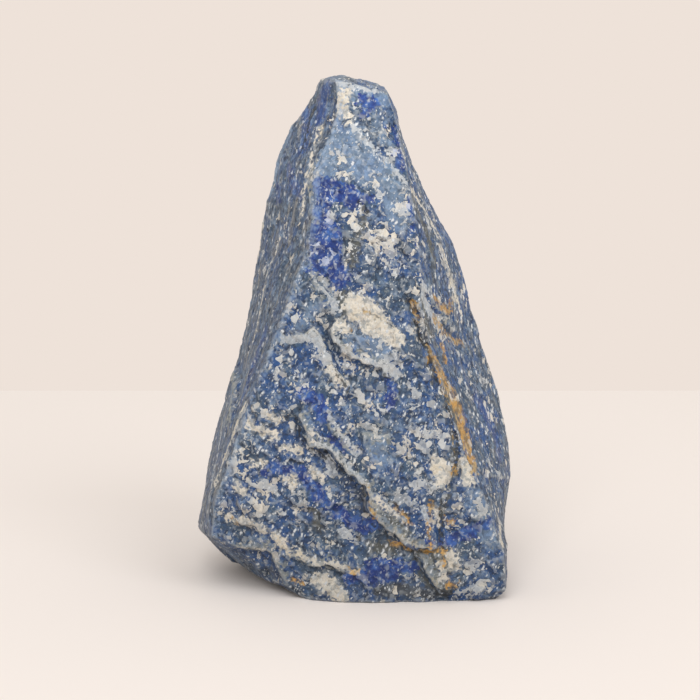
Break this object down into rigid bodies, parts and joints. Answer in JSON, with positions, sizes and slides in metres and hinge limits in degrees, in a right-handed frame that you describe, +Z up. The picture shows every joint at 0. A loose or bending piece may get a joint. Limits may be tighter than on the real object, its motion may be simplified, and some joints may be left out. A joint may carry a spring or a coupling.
{
  "type": "blue quartz specimen",
  "caption": "Rough, pointed piece of blue quartz with pale flakes and ochre veins, standing upright on its flat broken base.",
  "frame": {"origin": "in the plane of the flat base, under the middle of the stone", "axes": "+Z up from the base to the point, +X to the right and -Y towards the front, where the broad ledged face and the ochre vein are"},
  "size_m": [0.0767, 0.0561, 0.1202],
  "materials": {
    "stone": "rough, with a slight waxy sheen"
  },
  "bodies": {
    "root": {"quartz_stone": "stone"}
  },
  "joints": []
}
